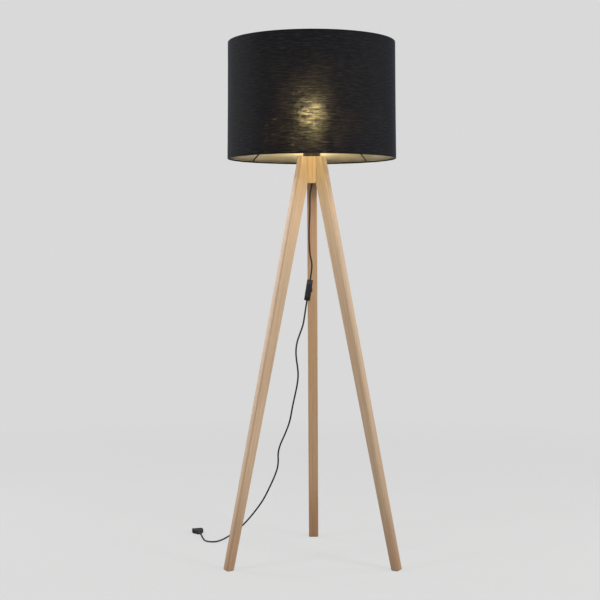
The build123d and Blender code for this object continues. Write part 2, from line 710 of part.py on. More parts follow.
def switch_screws():
    """Two cross-head screws that close the housing."""
    screws = []
    for y, z in SCREW_SPOTS:
        seat = -SWITCH_HALF_T + 2.0
        screw = rod(1.25, (seat, y, z), (SWITCH_HALF_T - 3.0, y, z))
        screw += rod(2.5, (seat - 1.6, y, z), (seat, y, z))
        screw -= Pos(seat - 1.6, y, z) * (Box(1.6, 0.6, 3.2) + Box(1.6, 3.2, 0.6))
        screws.append(screw)
    return screws


in_switch = SWITCH.location
save("switch_base", in_switch * switch_base())
save("switch_cover", in_switch * switch_cover())
save("switch_rocker", in_switch * rocker())
save("rocker_pin", in_switch * rod(PIN_R, (ROCKER_PIVOT, -6.2, 0), (ROCKER_PIVOT, 6.2, 0)))
save("switch_contacts", *[in_switch * item for item in switch_contacts()])
save("switch_screws", *[in_switch * item for item in switch_screws()])


# ---------------------------------------------------------------- plug
PLUG = Plane(origin=PLUG_REAR, x_dir=PLUG_HEADING, z_dir=(0, 0, 1))


def plug_body():
    """Flat two-pin plug, narrow at the cord and square at the pins."""
    outline = Polyline(
        (0, 6.5), (8, 8.5), (17, PLUG_HALF_W), (PLUG_L, PLUG_HALF_W),
        (PLUG_L, -PLUG_HALF_W), (17, -PLUG_HALF_W), (8, -8.5), (0, -6.5), close=True,
    )
    body = extrude(make_face(outline), PLUG_HALF_T, both=True)
    body = fillet(body.edges().filter_by(Axis.Z), 2.5)
    body = fillet(body.faces().filter_by(Axis.Z).edges(), 2.0)
    for side in (-1, 1):
        y = side * PLUG_PIN_SPACING / 2
        body -= rod(PLUG_PIN_R, (PLUG_L - 8, y, 0), (PLUG_L + 1, y, 0))
    return body


def plug_pins():
    """Two round pins with domed ends."""
    pins = []
    for side in (-1, 1):
        y = side * PLUG_PIN_SPACING / 2
        tip = PLUG_L + PLUG_PIN_OUT - PLUG_PIN_R
        pin = rod(PLUG_PIN_R, (PLUG_L - 8, y, 0), (tip, y, 0))
        pins.append(pin + Pos(tip, y, 0) * Sphere(PLUG_PIN_R))
    return pins


def plug_boot():
    """Ribbed, tapered sleeve round the cord behind the plug."""
    ribs = 5
    step = BOOT_L / (ribs + 0.5)
    outline = [(-BOOT_L, CORD_R), (-BOOT_L, 3.2)]
    for rib in range(ribs):
        start = -BOOT_L + step * (rib + 0.5)
        radius = 3.2 + 1.7 * (rib + 1) / ribs
        outline += [(start, radius - 0.7), (start + step * 0.3, radius)]
        outline += [(start + step * 0.75, radius), (start + step, radius - 0.4)]
    outline += [(0, 4.5), (0, CORD_R)]
    return revolve(make_face(Polyline(*outline, close=True)), Axis.X)


in_plug = PLUG.location
save("plug_body", in_plug * plug_body())
save("plug_pins", *[in_plug * item for item in plug_pins()])
save("plug_boot", in_plug * plug_boot())

# ---------------------------------------------------------------- cord
save("cord_upper", cord_tube(CORD_UPPER, "cord_upper"))
save("cord_lower", cord_tube(CORD_LOWER, "cord_lower"))

pivot = SWITCH.from_local_coords(Vector(ROCKER_PIVOT, 0, 0)) + Vector(0, AXIS_Y, 0)
print("rocker pivot", [round(value, 3) for value in pivot], "axis", [round(v, 5) for v in SWITCH.y_dir])
print("lamp axis y", AXIS_Y, "carrier z", CARRIER_Z, "bulb top", BULB_TIP + BULB_H)
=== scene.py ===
"""Looks of the tripod floor lamp: materials, the shade's cloth, the cord, the light and the camera.

Lengths are in metres, apart from the cord's route in millimetres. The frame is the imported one:
+X right, +Y towards the back leg, +Z up.
"""

import math

import bmesh
import bpy
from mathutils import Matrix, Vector


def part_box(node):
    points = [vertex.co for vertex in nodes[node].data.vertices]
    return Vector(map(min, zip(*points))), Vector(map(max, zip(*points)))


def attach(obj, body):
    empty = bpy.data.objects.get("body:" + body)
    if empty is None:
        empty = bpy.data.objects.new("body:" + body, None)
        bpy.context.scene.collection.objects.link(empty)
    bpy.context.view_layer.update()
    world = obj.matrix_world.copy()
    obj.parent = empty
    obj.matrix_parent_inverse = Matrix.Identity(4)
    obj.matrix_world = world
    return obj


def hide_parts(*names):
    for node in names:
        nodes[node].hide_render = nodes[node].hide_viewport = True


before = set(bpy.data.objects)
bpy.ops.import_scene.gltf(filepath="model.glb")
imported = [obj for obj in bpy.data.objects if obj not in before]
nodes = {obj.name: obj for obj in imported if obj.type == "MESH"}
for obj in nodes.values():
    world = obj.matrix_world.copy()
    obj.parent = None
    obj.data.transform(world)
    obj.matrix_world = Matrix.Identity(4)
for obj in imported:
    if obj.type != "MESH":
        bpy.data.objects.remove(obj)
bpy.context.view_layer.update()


# ---------------------------------------------------------------- places read from the frame
def centre(node):
    """Middle of a CAD node's box."""
    low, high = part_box(node)
    return (Vector(low) + Vector(high)) / 2


def half_width(node):
    """Half of a CAD node's box across X."""
    low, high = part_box(node)
    return (high[0] - low[0]) / 2


RING_LOW, RING_HIGH = (corner[2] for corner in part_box("shade_fabric"))
HEM_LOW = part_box("shade_hem_bottom")[0][2]
HEM_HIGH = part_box("shade_hem_top")[1][2]
SHADE_LOW_R = half_width("shade_hem_bottom")
SHADE_HIGH_R = half_width("shade_hem_top")
SHADE_R = (SHADE_LOW_R + SHADE_HIGH_R) / 2
AXIS = Vector((centre("shade_fabric").x, centre("shade_fabric").y, 0.0))
GLOBE = centre("bulb_glass")


# ---------------------------------------------------------------- node graphs
class Graph:
    """A material being built from nodes."""

    def __init__(self, name):
        self.material = bpy.data.materials.new(name)
        self.material.use_nodes = True
        self.tree = self.material.node_tree
        self.tree.nodes.clear()

    def feed(self, socket, value):
        """Link a socket to another one, or set its own value."""
        if isinstance(value, bpy.types.NodeSocket):
            self.tree.links.new(value, socket)
        else:
            socket.default_value = value

    def add(self, kind, inputs=None, **settings):
        """New node of a kind, with its settings and its inputs by name or number."""
        node = self.tree.nodes.new("ShaderNode" + kind)
        for key, value in settings.items():
            setattr(node, key, value)
        for key, value in (inputs or {}).items():
            self.feed(node.inputs[key], value)
        return node

    def math(self, operation, *values):
        """Result of a math node."""
        node = self.add("Math", operation=operation)
        for socket, value in zip(node.inputs, values):
            self.feed(socket, value)
        return node.outputs[0]

    def place(self):
        """Point on the piece, in metres."""
        return self.add("TexCoord").outputs["Object"]

    def stretch(self, vector, scale):
        """A vector scaled by three numbers."""
        node = self.add("VectorMath", {0: vector, 1: scale}, operation="MULTIPLY")
        return node.outputs[0]

    def noise(self, vector, scale=1.0, detail=3.0, roughness=0.5, distortion=0.0):
        """Noise from 0 to 1."""
        inputs = {
            "Vector": vector,
            "Scale": scale,
            "Detail": detail,
            "Roughness": roughness,
            "Distortion": distortion,
        }
        return self.add("TexNoise", inputs).outputs["Fac"]

    def ramp(self, value, *stops):
        """Colours at positions, each stop a (position, colour) pair."""
        node = self.add("ValToRGB", {"Fac": value})
        elements = node.color_ramp.elements
        while len(elements) < len(stops):
            elements.new(0.5)
        for element, (position, colour) in zip(elements, stops):
            element.position = position
            element.color = (*colour, 1.0)
        return node.outputs["Color"]

    def span(self, value, low, high, to_low=0.0, to_high=1.0):
        """A value moved from one range to another, and kept in it."""
        inputs = {1: low, 2: high, 3: to_low, 4: to_high, 0: value}
        return self.add("MapRange", inputs).outputs[0]

    def mix(self, share, first, second, blend="MIX"):
        """Two colours mixed."""
        node = self.add("Mix", data_type="RGBA", blend_type=blend)
        self.feed(node.inputs[0], share)
        for socket, value in ((node.inputs[6], first), (node.inputs[7], second)):
            self.feed(socket, (*value, 1.0) if isinstance(value, tuple) else value)
        return node.outputs[2]

    def bump(self, height, depth, strength=1.0):
        """Normal from a height map, depth in metres."""
        inputs = {"Height": height, "Distance": depth, "Strength": strength}
        return self.add("Bump", inputs).outputs["Normal"]

    def shade(self, colour, roughness, normal=None, **others):
        """Principled shader; others are its inputs, with _ for a space."""
        inputs = {"Base Color": (*colour, 1.0) if isinstance(colour, tuple) else colour}
        inputs["Roughness"] = roughness
        for key, value in others.items():
            inputs[key.replace("_", " ")] = value
        node = self.add("BsdfPrincipled", inputs)
        if normal is not None:
            self.feed(node.inputs["Normal"], normal)
        return node.outputs[0]

    def finish(self, surface):
        """Connect the surface and give the material."""
        output = self.add("OutputMaterial")
        self.feed(output.inputs["Surface"], surface)
        return self.material


# ---------------------------------------------------------------- materials
WOOD_LIGHT = (0.650, 0.475, 0.310)
WOOD_MID = (0.570, 0.395, 0.240)
WOOD_DARK = (0.410, 0.255, 0.140)
FLOOR_SHADE_TINT = (0.82, 0.72, 0.68)      # painted shade at the floor, gone at the reach's height
FLOOR_SHADE_REACH = 0.22
ARRIS_SHADE_TINT = (0.74, 0.70, 0.67)      # tint of painted shade on the outer face near its rounded edge
ARRIS_SHADE_RISE = (0.001, 0.0085)         # where it starts and ends, from the middle of the piece
ARRIS_SHADE_FALL = (0.0135, 0.0145)
PORES = 0.45
WOOD_RELIEF = 0.00012


def wood(name, along, across, seed, painted_light=(1.0, 1.0, 1.0), ring=0.0):
    """Pale varnished wood, grain along one direction, made lighter or darker by a painted light tint.

    Painted shade makes it darker and redder near the floor, where less light reaches. A dark line of
    painted shade can run along one side of the outer face, near its rounded edge, which faces away from
    the lamps: the sign of ring gives the side and its size the strength.
    """
    graph = Graph(name)
    along, across = Vector(along).normalized(), Vector(across).normalized()
    deep = along.cross(across).normalized()
    point = graph.place()
    parts = []
    for direction in (along, across, deep):
        node = graph.add("VectorMath", {0: point, 1: direction}, operation="DOT_PRODUCT")
        parts.append(node.outputs["Value"])
    shifted = graph.math("ADD", parts[0], seed)
    grain = graph.add("CombineXYZ", {0: shifted, 1: parts[1], 2: parts[2]}).outputs[0]

    figure = graph.noise(graph.stretch(grain, (1.1, 26.0, 26.0)), detail=2.0, distortion=0.6)
    lines = graph.noise(graph.stretch(grain, (3.5, 260.0, 260.0)), detail=4.0, roughness=0.6)
    fibre = graph.noise(graph.stretch(grain, (30.0, 1500.0, 1500.0)), detail=2.0)
    blotch = graph.noise(graph.stretch(grain, (5.0, 9.0, 9.0)), detail=2.0)
    pores = graph.span(graph.noise(graph.stretch(grain, (55.0, 1100.0, 1100.0))), 0.62, 0.74)

    base = graph.ramp(figure, (0.25, WOOD_DARK), (0.42, WOOD_MID), (0.62, WOOD_LIGHT))
    base = graph.mix(0.55, base, graph.ramp(lines, (0.30, WOOD_DARK), (0.62, WOOD_LIGHT)))
    base = graph.mix(graph.span(blotch, 0.35, 0.7, 0.0, 0.35), base, WOOD_LIGHT)
    tone = graph.ramp(fibre, (0.3, (0.86, 0.84, 0.82)), (0.7, (1.0, 1.0, 1.0)))
    base = graph.mix(1.0, base, tone, "MULTIPLY")
    base = graph.mix(graph.math("MULTIPLY", pores, PORES), base, WOOD_DARK)
    # painted light and shade: the piece made lighter or darker by how much light falls on it
    base = graph.mix(1.0, base, painted_light, "MULTIPLY")
    # painted shade: darker and redder towards the floor, where less light reaches
    height = graph.add("SeparateXYZ", {0: point}).outputs[2]
    base = graph.mix(graph.span(height, 0.0, FLOOR_SHADE_REACH, 1.0, 0.0), base, FLOOR_SHADE_TINT, "MULTIPLY")
    # painted shade: a dark line on the outer face near its rounded edge, which faces away from the lamps
    if ring:
        offset = graph.math("SUBTRACT", parts[1], AXIS.dot(across))
        side = graph.math("MULTIPLY", offset, math.copysign(1.0, ring))
        rise = graph.span(side, *ARRIS_SHADE_RISE)
        fall = graph.span(side, *ARRIS_SHADE_FALL, 1.0, 0.0)
        arris_shade = graph.math("MULTIPLY", rise, graph.math("MULTIPLY", fall, abs(ring)))
        base = graph.mix(arris_shade, base, ARRIS_SHADE_TINT, "MULTIPLY")
    roughness = graph.span(lines, 0.3, 0.7, 0.42, 0.55)
    relief = graph.math("SUBTRACT", graph.math("MULTIPLY", lines, 0.6), pores)
    normal = graph.bump(relief, WOOD_RELIEF, 0.6)
    surface = graph.shade(
        base, roughness, normal, Specular_IOR_Level=0.4, Coat_Weight=0.12, Coat_Roughness=0.35
    )
    return graph.finish(surface)


def speckled(name, colour, roughness, grain, depth, spread=0.25, **others):
    """Even material with fine texture: plastic, rubber, felt, ceramic, powder coat."""
    graph = Graph(name)
    point = graph.place()
    fine = graph.noise(point, grain, detail=3.0)
    broad = graph.noise(point, grain * 0.04, detail=2.0)
    darker = tuple(part * (1 - spread) for part in colour)
    lighter = tuple(min(1.0, part * (1 + spread)) for part in colour)
    mixed = graph.math("ADD", graph.math("MULTIPLY", fine, 0.6), graph.math("MULTIPLY", broad, 0.4))
    base = graph.ramp(mixed, (0.3, darker), (0.7, lighter))
    rough = graph.span(broad, 0.3, 0.7, roughness * 0.88, min(1.0, roughness * 1.12))
    surface = graph.shade(base, rough, graph.bump(fine, depth, 0.5), **others)
    return graph.finish(surface)


def metal(name, colour, roughness, grain=900.0, tarnish=0.25):
    """Bare metal with turning marks and a little tarnish."""
    graph = Graph(name)
    point = graph.place()
    marks = graph.noise(graph.stretch(point, (1.0, 1.0, 9.0)), grain, detail=2.0)
    patches = graph.noise(point, 140.0, detail=3.0)
    dull = tuple(part * (1 - tarnish) for part in colour)
    base = graph.ramp(patches, (0.35, dull), (0.6, colour))
    rough = graph.span(marks, 0.3, 0.7, roughness * 0.75, roughness * 1.3)
    surface = graph.shade(base, rough, graph.bump(marks, 0.00003, 0.4), Metallic=1.0)
    return graph.finish(surface)


def around_axis(graph):
    """Position on the shade's wall as (arc length, height), in metres, with the joint at the back."""
    point = graph.add("SeparateXYZ", {0: graph.place()})
    x = graph.math("SUBTRACT", point.outputs[0], AXIS.x)
    y = graph.math("SUBTRACT", AXIS.y, point.outputs[1])
    arc = graph.math("MULTIPLY", graph.math("ARCTAN2", x, y), SHADE_R)
    return graph.add("CombineXYZ", {0: arc, 1: point.outputs[2], 2: 0.0}).outputs[0]


FABRIC_BLACK = (0.0056, 0.0059, 0.0084)
FABRIC_THREAD = (0.0072, 0.0075, 0.0102)
THREAD_PITCH = 0.0011
GLOW_TINT = (1.0, 0.89, 0.57)
GLOW_SHARE = 0.0104         # share of the light that comes through a gap of middle size
CLOTH_IOR = 1.32
DIRECT_BLUR = 0.48          # spread of the light that goes straight through
WIDE_SHARE = 0.58           # share that the threads turn up or down, by up to the lean
WIDE_BLUR = 0.74
WIDE_LEAN = 1.5


def weave(graph):
    """Plain weave: (height of the threads, slubs that run round the shade)."""
    wall = around_axis(graph)
    turns = 2 * math.pi / THREAD_PITCH
    parts = graph.add("SeparateXYZ", {0: wall})
    wobble = graph.math("MULTIPLY", graph.noise(graph.stretch(wall, (90.0, 300.0, 1.0))), 4.0)
    warp = graph.math("SINE", graph.math("MULTIPLY", parts.outputs[0], turns))
    weft_angle = graph.math("MULTIPLY", parts.outputs[1], turns)
    weft = graph.math("SINE", graph.math("ADD", weft_angle, wobble))
    threads = graph.math("ADD", graph.math("MULTIPLY", warp, 0.25), graph.math("MULTIPLY", weft, 0.25))
    drawn = graph.stretch(wall, (32.0, 270.0, 1.0))
    slubs = graph.noise(drawn, detail=4.0, roughness=0.66, distortion=0.4)
    return graph.math("ADD", threads, 0.5), slubs


def scattered(graph):
    """Light passed on by threads that run round the shade: spread up and down more than sideways."""
    grain = graph.stretch(graph.place(), (9000.0, 9000.0, 9000.0))
    random = graph.add("TexWhiteNoise", {"Vector": grain}, noise_dimensions="3D").outputs["Value"]
    lean = graph.add("CombineXYZ", {0: 0.0, 1: 0.0, 2: graph.span(random, 0.0, 1.0, -WIDE_LEAN, WIDE_LEAN)})
    facing = graph.add("NewGeometry").outputs["Normal"]
    leant = graph.add("VectorMath", {0: facing, 1: lean.outputs[0]}, operation="ADD")
    normal = graph.add("VectorMath", {0: leant.outputs[0]}, operation="NORMALIZE").outputs[0]
    direct = graph.add(
        "BsdfRefraction",
        {"Color": (*GLOW_TINT, 1.0), "Roughness": DIRECT_BLUR, "IOR": CLOTH_IOR},
        distribution="BECKMANN",
    )
    wide = graph.add(
        "BsdfRefraction",
        {"Color": (*GLOW_TINT, 1.0), "Roughness": WIDE_BLUR, "IOR": CLOTH_IOR, "Normal": normal},
        distribution="BECKMANN",
    )
    return graph.add("MixShader", {0: WIDE_SHARE, 1: direct.outputs[0], 2: wide.outputs[0]}).outputs[0]


def fabric(name):
    """Black woven cloth with a soft sheen; a little of the bulb's light comes through its gaps."""
    graph = Graph(name)
    threads, slubs = weave(graph)
    base = graph.ramp(slubs, (0.3, FABRIC_BLACK), (0.7, FABRIC_THREAD))
    relief = graph.math("ADD", graph.math("MULTIPLY", threads, 0.5), graph.math("MULTIPLY", slubs, 0.3))
    cloth = graph.shade(
        base,
        0.75,
        graph.bump(relief, 0.0003, 0.35),
        Specular_IOR_Level=0.08,
        Sheen_Weight=0.19,
        Sheen_Roughness=0.28,
        Sheen_Tint=(0.78, 0.86, 1.0, 1.0),
    )
    gaps = graph.math("POWER", graph.span(slubs, 0.32, 0.68, 0.25, 1.6), 2.5)
    share = graph.math("MULTIPLY", gaps, GLOW_SHARE)
    outside = graph.add("MixShader", {0: share, 1: cloth, 2: scattered(graph)})
    inside = graph.add("BsdfRefraction", {"Color": (1, 1, 1, 1), "Roughness": 0.2, "IOR": CLOTH_IOR})
    behind = graph.add("NewGeometry").outputs["Backfacing"]
    both = graph.add("MixShader", {0: behind, 1: outside.outputs[0], 2: inside.outputs[0]})
    return graph.finish(both.outputs[0])


def open_back(name):
    """Side of a film that is glued to the cloth: light from the lamp isn't stopped there."""
    graph = Graph(name)
    return graph.finish(graph.add("BsdfTransparent").outputs[0])


GOLD_DULL = (0.358, 0.324, 0.244)
GOLD_BRIGHT = (0.437, 0.394, 0.299)


def gold_film(name):
    """Warm gold lining film, satin, with a faint brushed grain."""
    graph = Graph(name)
    wall = around_axis(graph)
    brushed = graph.noise(graph.stretch(wall, (500.0, 40.0, 1.0)), detail=3.0)
    clouds = graph.noise(graph.stretch(wall, (14.0, 14.0, 1.0)), detail=2.0)
    base = graph.ramp(clouds, (0.3, GOLD_DULL), (0.7, GOLD_BRIGHT))
    rough = graph.span(brushed, 0.3, 0.7, 0.37, 0.46)
    film = graph.shade(
        base,
        rough,
        graph.bump(brushed, 0.00008, 0.4),
        Metallic=0.7,
        Anisotropic=0.6,
        Anisotropic_Rotation=0.25,
    )
    through = graph.add("BsdfTransparent").outputs[0]
    behind = graph.add("NewGeometry").outputs["Backfacing"]
    return graph.finish(graph.add("MixShader", {0: behind, 1: film, 2: through}).outputs[0])


BULB_LIGHT = (1.0, 0.85, 0.56)
BULB_POWER = 126.0
STICKS_RISE = 0.010         # middle of the light sticks above the globe's box's middle
STICKS_REACH = (0.004, 0.055)


def frosted_glass(name):
    """Frosted envelope of a lit bulb, brightest round the light sticks."""
    graph = Graph(name)
    point = graph.add("SeparateXYZ", {0: graph.place()})
    above = graph.math("SUBTRACT", point.outputs[2], GLOBE.z + STICKS_RISE)
    away = graph.math("ABSOLUTE", above)
    power = graph.span(away, *STICKS_REACH, BULB_POWER, BULB_POWER * 0.25)
    frost = graph.noise(graph.place(), 900.0)
    rough = graph.span(frost, 0.3, 0.7, 0.35, 0.5)
    surface = graph.shade(
        (0.95, 0.93, 0.88),
        rough,
        graph.bump(frost, 0.00004, 0.3),
        Emission_Color=(*BULB_LIGHT, 1.0),
        Emission_Strength=power,
    )
    return graph.finish(surface)


def cord_rubber(name):
    """Black rubber sheath with a fine uneven surface."""
    return speckled(name, (0.018, 0.018, 0.020), 0.42, 2200.0, 0.00004, Specular_IOR_Level=0.45)


LEG_TILT = 0.2078           # how far a leg leans out for each metre down
LEG_TURNS = {"leg_back": 90.0, "leg_left": 210.0, "leg_right": 330.0}
# painted light and shade: each leg's wood lighter or darker by how much light falls on it
LEG_PAINTED_LIGHT = {"leg_back": (0.98, 0.88, 0.80), "leg_left": (1.06, 1.06, 1.08), "leg_right": (0.90, 0.90, 0.91)}
# painted light: the hub made lighter and warmer for the bulb's light that falls on it
HUB_PAINTED_LIGHT = (1.15, 1.12, 1.02)
# painted shade on each front leg's outer face near one edge: its side and strength
LEG_ARRIS_SHADE = {"leg_back": 0.0, "leg_left": 1.0, "leg_right": -0.6}


def leg_directions(turn):
    """(direction down the leg, direction across its outer face)."""
    angle = math.radians(turn)
    out = Vector((math.cos(angle), math.sin(angle), 0.0))
    return out * LEG_TILT - Vector((0, 0, 1)), Vector((-out.y, out.x, 0.0))


def paint(material, *names):
    """Give CAD nodes a material, held by the objects rather than by their meshes."""
    for name in names:
        node = nodes[name]
        if not node.material_slots:
            node.data.materials.append(material)
        for part in node.material_slots:
            part.link = "OBJECT"
            part.material = material


def paint_cad():
    """Materials of the CAD nodes that are shown as they are."""
    for seed, (name, turn) in enumerate(LEG_TURNS.items()):
        along, across = leg_directions(turn)
        paint(wood(f"wood_{name}", along, across, 3.7 * seed, LEG_PAINTED_LIGHT[name], LEG_ARRIS_SHADE[name]), name)
    paint(wood("wood_hub", (0, 0, 1), (1, 0, 0), 11.3, HUB_PAINTED_LIGHT), "hub")
    paint(wood("wood_plugs", (0.2, 0.3, 1), (1, 0, 0), 17.9), "bolt_plugs")
    paint(speckled("felt", (0.22, 0.14, 0.085), 0.95, 1600.0, 0.0003, 0.3, Sheen_Weight=0.2), "foot_pads")
    paint(metal("zinc", (0.60, 0.61, 0.63), 0.32), "leg_bolts", "threaded_tube", "tube_nuts")
    paint(metal("zinc_small", (0.62, 0.63, 0.65), 0.28), "tube_washer", "terminal_screws", "switch_screws")
    paint(metal("steel_pin", (0.66, 0.66, 0.67), 0.22), "rocker_pin", "bulb_contact")
    paint(metal("brass", (0.72, 0.52, 0.24), 0.28), "leg_inserts", "screw_shell", "centre_contact")
    paint(metal("brass_small", (0.74, 0.54, 0.26), 0.25), "terminals", "switch_contacts")
    paint(metal("cap_alloy", (0.76, 0.75, 0.74), 0.24), "bulb_cap")
    paint(metal("nickel", (0.72, 0.70, 0.66), 0.18), "plug_pins")
    enamel = speckled("cup_enamel", (0.020, 0.017, 0.014), 0.45, 1500.0, 0.00003, Specular_IOR_Level=0.3)
    paint(enamel, "holder_cup")
    bakelite = speckled("bakelite", (0.022, 0.021, 0.021), 0.40, 1800.0, 0.00004)
    paint(bakelite, "holder_cap", "holder_skirt", "lock_ring")
    paint(speckled("ceramic", (0.82, 0.80, 0.75), 0.55, 1400.0, 0.00005, 0.06), "holder_insert")
    paint(speckled("wire_sleeve", (0.24, 0.12, 0.06), 0.45, 1500.0, 0.00003), "lead_wires")
    powder = ((0.030, 0.030, 0.030), 0.48, 1500.0, 0.00008)
    paint(speckled("powder_coat", *powder), "spider_arms", "carrier_ring")
    paint(speckled("ring_coat", *powder), "shade_ring_bottom", "shade_ring_top")
    paint(speckled("vitrite", (0.015, 0.015, 0.018), 0.12, 900.0, 0.00002), "bulb_insulator")
    paint(speckled("phosphor", (0.85, 0.62, 0.18), 0.6, 1500.0, 0.00003), "bulb_filaments")
    paint(speckled("stem_glass", (0.90, 0.90, 0.88), 0.08, 700.0, 0.00001, 0.03), "bulb_stem")
    paint(frosted_glass("bulb_frost"), "bulb_glass")
    moulded = ((0.022, 0.022, 0.024), 0.46, 2400.0, 0.00007)
    paint(speckled("switch_shell", *moulded), "switch_base", "switch_cover")
    paint(speckled("rocker_gloss", (0.016, 0.016, 0.017), 0.28, 1800.0, 0.00003), "switch_rocker")
    paint(speckled("plug_shell", *moulded), "plug_body", "plug_boot")
    paint(cord_rubber("cord_sheath_cad"), "cord_inner", "cord_relief")


# ---------------------------------------------------------------- mesh pieces
def link(piece):
    """Put a new object in the scene."""
    bpy.context.scene.collection.objects.link(piece)
    return piece


def turned(name, outline, steps, materials, slot_of=None, wobble=None):
    """Mesh made by turning a closed outline of (radius, height) points about the lamp's axis."""
    mesh = bpy.data.meshes.new(name)
    build = bmesh.new()
    rows = []
    for step in range(steps):
        angle = 2 * math.pi * step / steps
        row = []
        for radius, height in outline:
            reach = radius + (wobble(angle, height) if wobble else 0.0)
            place = (AXIS.x + reach * math.sin(angle), AXIS.y + reach * math.cos(angle), height)
            row.append(build.verts.new(place))
        rows.append(row)
    count = len(outline)
    for step in range(steps):
        here, there = rows[step], rows[(step + 1) % steps]
        for index in range(count):
            after = (index + 1) % count
            face = build.faces.new((here[index], there[index], there[after], here[after]))
            face.smooth = True
            face.material_index = slot_of(index) if slot_of else 0
    bmesh.ops.recalc_face_normals(build, faces=build.faces)
    build.to_mesh(mesh)
    build.free()
    for material in materials:
        mesh.materials.append(material)
    return link(bpy.data.objects.new(name, mesh))


CLOTH_T = 0.0007
CLOTH_SLACK = 0.0004        # how far the cloth sags in between its two rings
HEM_R = RING_LOW - HEM_LOW
HEM_TAIL = 0.0016           # end of the fold, past the ring's inner side
TAIL_TURN = ((0.5, 0.0001), (1.0, 0.0004))      # how far the tail stands off at shares of its length
LINING_GAP = 0.0004
LINING_T = 0.0004
WALL_STEPS = 360
WALL_ROWS = 24
LINING_ROWS = 12


def wall_r(height):
    """Outside radius of the shade's wall, which is a little wider below."""
    share = (height - RING_LOW) / (RING_HIGH - RING_LOW)
    return SHADE_LOW_R + (SHADE_HIGH_R - SHADE_LOW_R) * share


def wall_outline(depth, low, high, rows):
    """Points up the wall, at a depth below its outside."""
    heights = [low + (high - low) * row / rows for row in range(rows + 1)]
    return [(wall_r(height) - depth, height) for height in heights]


def cloth_wobble(angle, height):
    """The slight unevenness of cloth drawn round two rings, in metres."""
    mid = math.sin(math.pi * (height - HEM_LOW) / (HEM_HIGH - HEM_LOW))
    slow = math.sin(3 * angle + 0.7) + 0.6 * math.sin(7 * angle + 2.1) + 0.4 * math.sin(13 * angle)
    return -CLOTH_SLACK * max(0.0, mid) * (1 + 0.5 * slow)


def hem_fold(ring_height, outward, bends=10):
    """Outline of cloth folded round a ring, from outside to inside; outward is 1 up and -1 down."""
    ring_r = wall_r(ring_height) - HEM_R
    points = []
    for bend in range(bends + 1):
        angle = math.pi * bend / bends
        points.append((ring_r + HEM_R * math.cos(angle), ring_height + outward * HEM_R * math.sin(angle)))
    for share, turn in TAIL_TURN:
        points.append((ring_r - HEM_R + turn, ring_height - outward * HEM_TAIL * share))
    return points


def offset_inside(points, thickness):
    """An outline moved by a thickness towards the inside of the cloth."""
    moved = []
    for index, (radius, height) in enumerate(points):
        before = Vector(points[max(index - 1, 0)])
        after = Vector(points[min(index + 1, len(points) - 1)])
        run = (after - before).normalized()
        moved.append((radius - thickness * run.y, height + thickness * run.x))
    return moved


def make_shade():
    """Black cloth from inside the lower hem, up the wall, to inside the upper hem."""
    lower = list(reversed(hem_fold(RING_LOW, -1)))
    wall = wall_outline(0.0, RING_LOW, RING_HIGH, WALL_ROWS)[1:-1]
    outer = lower + wall + hem_fold(RING_HIGH, 1)
    outline = outer + list(reversed(offset_inside(outer, CLOTH_T)))
    woven = fabric("shade_cloth_weave")
    cloth = turned("shade_cloth", outline, WALL_STEPS, [woven], wobble=cloth_wobble)
    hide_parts("shade_fabric", "shade_hem_bottom", "shade_hem_top")
    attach(cloth, "shade")


def make_lining():
    """Gold film inside the cloth: only its inner face is gold."""
    low, high = (corner[2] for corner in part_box("shade_lining"))
    outer = wall_outline(CLOTH_T + LINING_GAP, low, high, LINING_ROWS)
    inner = wall_outline(CLOTH_T + LINING_GAP + LINING_T, low, high, LINING_ROWS)
    film, back = gold_film("lining_gold"), open_back("lining_glue")
    lining = turned(
        "lining_film",
        inner + list(reversed(outer)),
        WALL_STEPS,
        [film, back],
        slot_of=lambda index: int(index > LINING_ROWS),
    )
    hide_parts("shade_lining")
    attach(lining, "shade")


# ---------------------------------------------------------------- cord
CORD_D = 0.005
MM = 0.001

# corner points that draw the cord's centre line, in millimetres from the lamp's axis: hub to switch
CORD_UPPER = [
    (0.0, 0.0, 1117.0),
    (-1.0, 0.0, 1110.5),
    (-6.0, 0.4, 1092.0),
    (-6.2, 1.0, 1060.0),
    (-6.4, 1.6, 1030.0),
    (-9.0, 2.4, 990.0),
    (-9.0, 3.0, 946.0),
    (-7.2, 3.5, 909.0),
    (0.2, 4.0, 880.0),
    (-2.819, 4.046, 851.723),
    (-7.113, 5.334, 825.097),
]

# and switch to plug
CORD_LOWER = [
    (-14.887, 7.666, 776.903),
    (-19.181, 8.954, 750.277),
    (-23.4, 11.2, 722.0),
    (-27.5, 14.0, 696.5),
    (-37.0, 17.5, 670.5),
    (-46.0, 21.0, 646.0),
    (-50.0, 24.0, 620.0),
    (-49.0, 28.0, 595.0),
    (-45.0, 33.0, 568.0),
    (-43.0, 38.0, 541.0),
    (-47.0, 44.5, 510.0),
    (-54.5, 53.0, 476.0),
    (-62.5, 62.0, 440.0),
    (-68.5, 71.5, 404.0),
    (-80.0, 83.0, 369.0),
    (-108.0, 101.0, 307.0),
    (-106.5, 117.0, 262.0),
    (-114.5, 130.0, 230.0),
    (-138.0, 149.0, 177.0),
    (-156.0, 166.0, 140.0),
    (-175.5, 181.5, 110.5),
    (-198.5, 195.0, 79.5),
    (-223.5, 206.0, 51.0),
    (-247.0, 211.5, 30.5),
    (-267.0, 211.0, 16.5),
    (-283.5, 205.5, 8.0),
    (-299.5, 196.0, 3.8),
    (-310.0, 192.0, 2.8),
    (-321.0, 191.9, 2.8),
    (-331.0, 195.5, 2.8),
    (-339.2, 202.6, 2.8),
    (-345.0, 213.0, 2.8),
    (-351.0, 234.0, 3.2),
    (-357.0, 256.0, 4.8),
    (-362.171, 278.208, 7.05),
    (-370.0, 303.0, 7.05),
]


